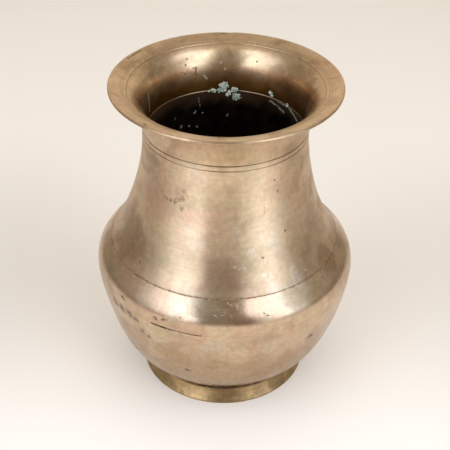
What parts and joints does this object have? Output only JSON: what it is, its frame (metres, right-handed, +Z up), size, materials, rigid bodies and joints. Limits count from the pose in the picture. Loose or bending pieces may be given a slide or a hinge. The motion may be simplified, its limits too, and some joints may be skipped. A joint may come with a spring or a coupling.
{
  "type": "lota water pot",
  "caption": "Round bellied brass water pot with a waisted neck, a wide flaring mouth and a low foot ring, built from turned castings brazed at rebated lap joints.",
  "frame": {"origin": "centre of the circle that the foot ring stands on", "axes": "+Z up along the pot's axis, from the foot to the mouth; +X and +Y are any two level directions, as the pot is round"},
  "size_m": [0.166, 0.166, 0.21],
  "materials": {
    "brass": "satin, turned and worn, with brown and grey tarnish",
    "foot_brass": "satin, yellower and darker than the body",
    "braze": "dull, darkened filler metal"
  },
  "bodies": {
    "root": {"mouth_collar": "brass", "neck_shoulder": "brass", "belly_band": "brass", "bowl": "brass", "foot_ring": "foot_brass", "neck_braze": "braze", "shoulder_braze": "braze", "girth_braze": "braze", "foot_braze": "braze"}
  },
  "joints": []
}
